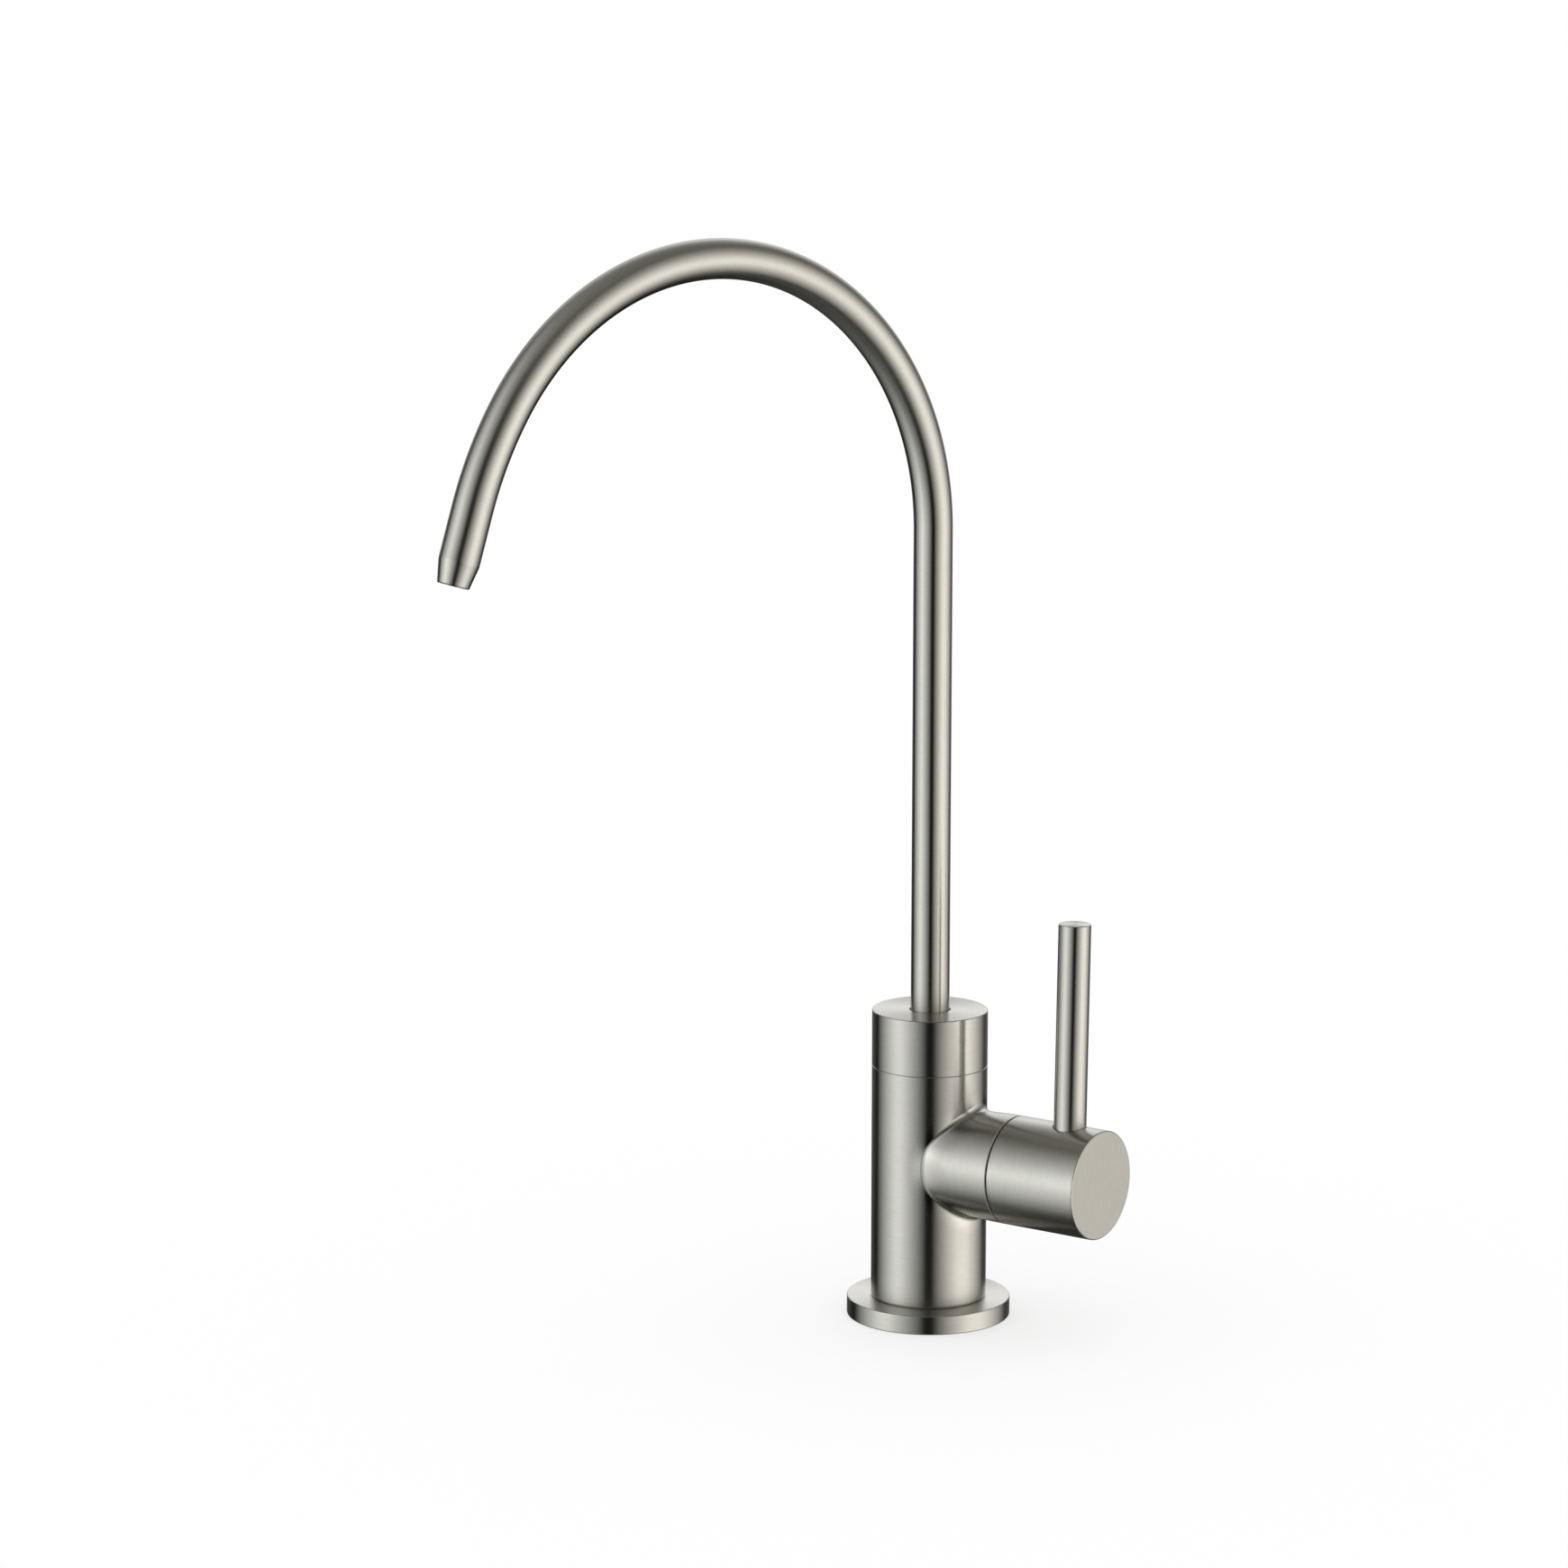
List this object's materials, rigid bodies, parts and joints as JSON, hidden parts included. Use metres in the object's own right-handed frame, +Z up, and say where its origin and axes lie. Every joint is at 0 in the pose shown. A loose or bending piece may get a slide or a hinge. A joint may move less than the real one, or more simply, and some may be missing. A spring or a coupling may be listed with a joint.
{
  "type": "water filter faucet",
  "caption": "Worktop faucet with a round column on a foot, a swivelling gooseneck tube with a tapered mouth, and a quarter-turn side valve worked by an upright rod lever.",
  "frame": {"origin": "centre of the foot's underside, where it stands on the worktop", "axes": "+Z up along the column's axis, +X along the valve and handle's axis, -Y to the front; the spout rests turned 15 degrees from -Y towards -X"},
  "size_m": [0.1154, 0.2044, 0.4032],
  "materials": {
    "brushed_stainless": "satin",
    "threaded_steel": "satin",
    "spring_steel": "satin",
    "turned_brass": "satin",
    "black_rubber": "matte",
    "white_nylon": "satin",
    "alumina": "satin"
  },
  "bodies": {
    "body": {"base_flange": "brushed_stainless", "base_gasket": "black_rubber", "valve_body": "brushed_stainless", "spout_cap": "brushed_stainless", "spout_thrust_ring": "white_nylon", "cartridge_body": "turned_brass", "cartridge_o_ring": "black_rubber", "seat_seal": "black_rubber", "fixed_disc": "alumina", "threaded_shank": "threaded_steel", "shank_o_ring": "black_rubber"},
    "spout": {"spout_stem": "turned_brass", "spout_o_rings": "black_rubber", "spout_tube": "brushed_stainless"},
    "handle": {"moving_disc": "alumina", "valve_spindle": "turned_brass", "spindle_o_rings": "black_rubber", "spindle_slip_washer": "white_nylon", "stop_ring": "turned_brass", "spindle_circlip": "spring_steel", "handle_hub": "brushed_stainless", "lever_rod": "brushed_stainless", "hub_set_screw": "spring_steel"},
    "deck_clamp": {"deck_rubber_washer": "black_rubber", "deck_steel_washer": "threaded_steel", "lock_nut": "turned_brass"}
  },
  "joints": [
    {"name": "spout_swivel", "type": "hinge", "parent": "body", "child": "spout", "pos_m": [0, 0, 0.0795], "axis": [0, 0, 1], "continuous": true},
    {"name": "lever_turn", "type": "hinge", "parent": "body", "child": "handle", "pos_m": [0.026, 0, 0.051], "axis": [1, 0, 0], "range_deg": [0, 90]},
    {"name": "clamp_travel", "type": "slide", "parent": "body", "child": "deck_clamp", "axis": [0, 0, 1], "range_m": [-0.013, 0.0195]}
  ]
}
